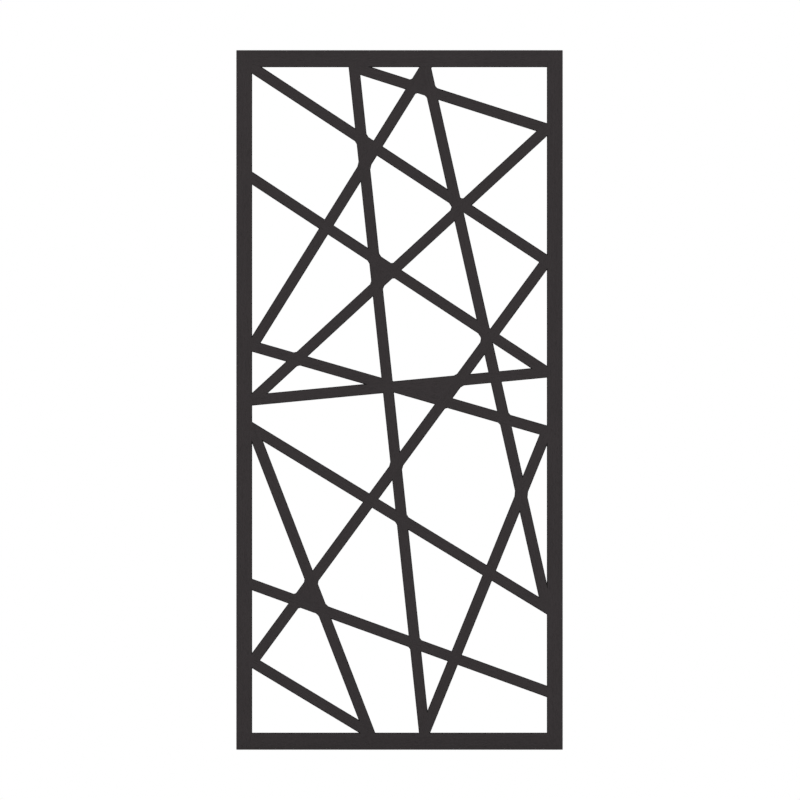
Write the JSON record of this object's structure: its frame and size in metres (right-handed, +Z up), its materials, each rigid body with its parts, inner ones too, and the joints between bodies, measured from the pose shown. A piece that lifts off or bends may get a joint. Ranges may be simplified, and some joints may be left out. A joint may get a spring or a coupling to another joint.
{
  "type": "openwork room divider panel",
  "caption": "Upright openwork room divider panel: straight bars cross at odd angles inside a flush rectangular frame, with threaded inserts in its bottom and top edges.",
  "frame": {"origin": "on the floor, under the middle of the panel's width and depth", "axes": "+Z up, +X to the right seen from the front, +Y to the back; the front face looks to -Y"},
  "size_m": [0.84, 0.03, 1.8],
  "materials": {
    "painted_wood": "matte",
    "bare_beech": "matte",
    "plated_steel": "satin"
  },
  "bodies": {
    "root": {"left_stile": "painted_wood", "right_stile": "painted_wood", "bottom_rail": "painted_wood", "top_rail": "painted_wood", "lattice_bar_01": "painted_wood", "lattice_bar_02": "painted_wood", "lattice_bar_03": "painted_wood", "lattice_bar_04": "painted_wood", "lattice_bar_05": "painted_wood", "lattice_bar_06": "painted_wood", "lattice_bar_07": "painted_wood", "lattice_bar_08": "painted_wood", "lattice_bar_09": "painted_wood", "lattice_bar_10": "painted_wood", "lattice_bar_11": "painted_wood", "lattice_bar_12": "painted_wood", "lattice_bar_13": "painted_wood", "lattice_bar_14": "painted_wood", "lattice_bar_15": "painted_wood", "infill_blocks": "painted_wood", "corner_fillets": "painted_wood", "corner_dowels": "bare_beech", "floor_inserts": "plated_steel", "ceiling_inserts": "plated_steel"}
  },
  "joints": []
}
